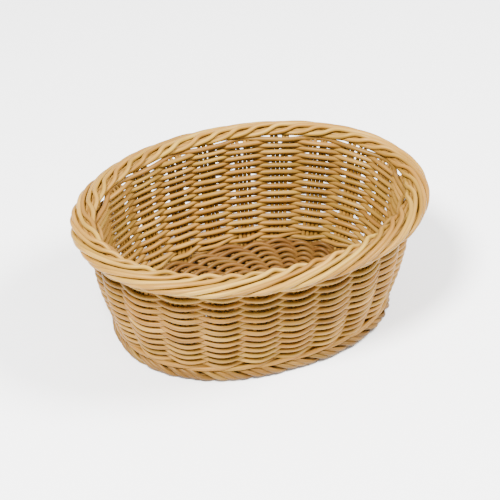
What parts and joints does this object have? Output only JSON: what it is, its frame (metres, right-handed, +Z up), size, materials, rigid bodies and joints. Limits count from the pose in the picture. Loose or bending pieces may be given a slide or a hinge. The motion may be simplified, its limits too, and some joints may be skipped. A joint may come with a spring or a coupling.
{
  "type": "woven wicker basket",
  "caption": "Low oval open basket of round cane: bundled upright stakes, a close side weave, a rolled rim border, a rolled foot border and a woven flat base.",
  "frame": {"origin": "middle of the underside, on the plane that the foot border stands on", "axes": "+X along the long axis of the oval, +Y across it, +Z up out of the mouth"},
  "size_m": [0.2504, 0.1914, 0.0965],
  "materials": {
    "stakes": "natural round cane, bare, slightly glossy",
    "side_weave": "natural round cane, bare, slightly glossy",
    "rim_border": "natural round cane, bare, slightly glossy",
    "foot_border": "natural round cane, bare, slightly glossy",
    "base_weave": "natural round cane, bare",
    "base_sticks": "natural round cane, bare"
  },
  "bodies": {
    "root": {"base_cross_sticks": "base_sticks", "base_long_sticks": "base_sticks", "base_weaver_01": "base_weave", "base_weaver_02": "base_weave", "base_weaver_03": "base_weave", "base_weaver_04": "base_weave", "base_weaver_05": "base_weave", "base_weaver_06": "base_weave", "base_weaver_07": "base_weave", "base_weaver_08": "base_weave", "base_weaver_09": "base_weave", "base_weaver_10": "base_weave", "base_weaver_11": "base_weave", "base_weaver_12": "base_weave", "foot_rod_inner": "foot_border", "foot_rod_outer": "foot_border", "foot_rod_upper": "foot_border", "rim_rod_01": "rim_border", "rim_rod_02": "rim_border", "rim_rod_03": "rim_border", "rim_rod_04": "rim_border", "rim_rod_05": "rim_border", "rim_rod_06": "rim_border", "rim_rod_07": "rim_border", "rim_rod_08": "rim_border", "rim_rod_09": "rim_border", "rim_rod_10": "rim_border", "rim_rod_11": "rim_border", "rim_rod_12": "rim_border", "rim_rod_13": "rim_border", "side_stakes_back": "stakes", "side_stakes_front": "stakes", "side_stakes_left": "stakes", "side_stakes_right": "stakes", "side_weaver_01": "side_weave", "side_weaver_02": "side_weave", "side_weaver_03": "side_weave", "side_weaver_04": "side_weave", "side_weaver_05": "side_weave", "side_weaver_06": "side_weave", "side_weaver_07": "side_weave", "side_weaver_08": "side_weave", "side_weaver_09": "side_weave", "side_weaver_10": "side_weave", "side_weaver_11": "side_weave", "side_weaver_12": "side_weave", "side_weaver_13": "side_weave", "side_weaver_14": "side_weave", "side_weaver_15": "side_weave", "side_weaver_16": "side_weave", "side_weaver_17": "side_weave", "side_weaver_18": "side_weave", "side_weaver_19": "side_weave", "side_weaver_20": "side_weave", "side_weaver_21": "side_weave", "side_weaver_22": "side_weave", "wale_row_01": "side_weave", "wale_row_02": "side_weave"}
  },
  "joints": []
}
